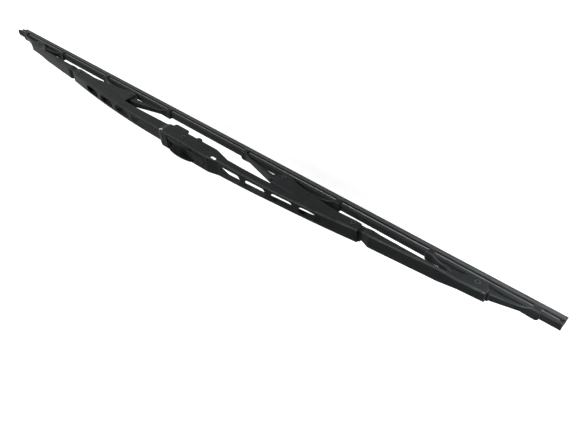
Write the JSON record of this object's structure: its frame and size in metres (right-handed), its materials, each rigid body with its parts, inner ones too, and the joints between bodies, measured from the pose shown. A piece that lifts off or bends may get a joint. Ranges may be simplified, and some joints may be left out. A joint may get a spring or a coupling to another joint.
{
  "type": "windscreen wiper blade",
  "caption": "Bow-type wiper blade: slotted primary lever, hinged secondary levers and claw yokes pressing a rubber strip with spring rails, on a hook adapter.",
  "frame": {"origin": "on the axis of the centre pin, in the middle of the blade", "axes": "+X along the blade, +Y across it, +Z away from the glass"},
  "size_m": [0.65, 0.0176, 0.0433],
  "materials": {
    "lever_paint": "satin black powder coat",
    "rivet_steel": "semi-tubular steel, blackened, bare on the rolled rim",
    "rail_steel": "bright rolled spring steel",
    "strip_rubber": "matt, greyer along the lip",
    "adapter_plastic": "moulded black",
    "liner_plastic": "moulded black"
  },
  "bodies": {
    "adapter": {"arm_adapter": "adapter_plastic"},
    "primary": {"primary_lever": "lever_paint", "centre_pin": "rivet_steel", "lever_rivet_left": "rivet_steel", "lever_rivet_right": "rivet_steel", "rubber_strip": "strip_rubber", "rail_front": "rail_steel", "rail_rear": "rail_steel"},
    "secondary_left": {"secondary_lever_left": "lever_paint", "lever_liner_left": "liner_plastic", "yoke_rivet_outer_left": "rivet_steel", "yoke_rivet_inner_left": "rivet_steel"},
    "secondary_right": {"secondary_lever_right": "lever_paint", "lever_liner_right": "liner_plastic", "yoke_rivet_outer_right": "rivet_steel", "yoke_rivet_inner_right": "rivet_steel"},
    "yoke_outer_left": {"yoke_outer_left": "lever_paint", "yoke_liner_outer_left": "liner_plastic"},
    "yoke_inner_left": {"yoke_inner_left": "lever_paint", "yoke_liner_inner_left": "liner_plastic"},
    "yoke_inner_right": {"yoke_inner_right": "lever_paint", "yoke_liner_inner_right": "liner_plastic"},
    "yoke_outer_right": {"yoke_outer_right": "lever_paint", "yoke_liner_outer_right": "liner_plastic"}
  },
  "joints": [
    {"name": "blade_tilt", "type": "hinge", "parent": "adapter", "child": "primary", "pos_m": [0, 0, 0], "axis": [0, 1, 0], "range_deg": [-12, 12]},
    {"name": "secondary_left_hinge", "type": "hinge", "parent": "primary", "child": "secondary_left", "pos_m": [-0.175, 0, -0.0104], "axis": [0, -1, 0], "range_deg": [-4, 6], "stiffness_Nm_per_rad": 0.6, "deforming": ["rubber_strip", "rail_front", "rail_rear"]},
    {"name": "secondary_right_hinge", "type": "hinge", "parent": "primary", "child": "secondary_right", "pos_m": [0.175, 0, -0.0104], "axis": [0, 1, 0], "range_deg": [-4, 6], "stiffness_Nm_per_rad": 0.6, "deforming": ["rubber_strip", "rail_front", "rail_rear"]},
    {"name": "yoke_outer_left_hinge", "type": "hinge", "parent": "secondary_left", "child": "yoke_outer_left", "pos_m": [-0.2698, 0, -0.019], "axis": [0, -1, 0], "range_deg": [-5, 5], "stiffness_Nm_per_rad": 0.2, "deforming": ["rubber_strip", "rail_front", "rail_rear"]},
    {"name": "yoke_inner_left_hinge", "type": "hinge", "parent": "secondary_left", "child": "yoke_inner_left", "pos_m": [-0.1003, 0, -0.0181], "axis": [0, -1, 0], "range_deg": [-5, 5], "stiffness_Nm_per_rad": 0.2, "deforming": ["rubber_strip", "rail_front", "rail_rear"]},
    {"name": "yoke_inner_right_hinge", "type": "hinge", "parent": "secondary_right", "child": "yoke_inner_right", "pos_m": [0.1003, 0, -0.0181], "axis": [0, 1, 0], "range_deg": [-5, 5], "stiffness_Nm_per_rad": 0.2, "deforming": ["rubber_strip", "rail_front", "rail_rear"]},
    {"name": "yoke_outer_right_hinge", "type": "hinge", "parent": "secondary_right", "child": "yoke_outer_right", "pos_m": [0.2698, 0, -0.019], "axis": [0, 1, 0], "range_deg": [-5, 5], "stiffness_Nm_per_rad": 0.2, "deforming": ["rubber_strip", "rail_front", "rail_rear"]}
  ]
}
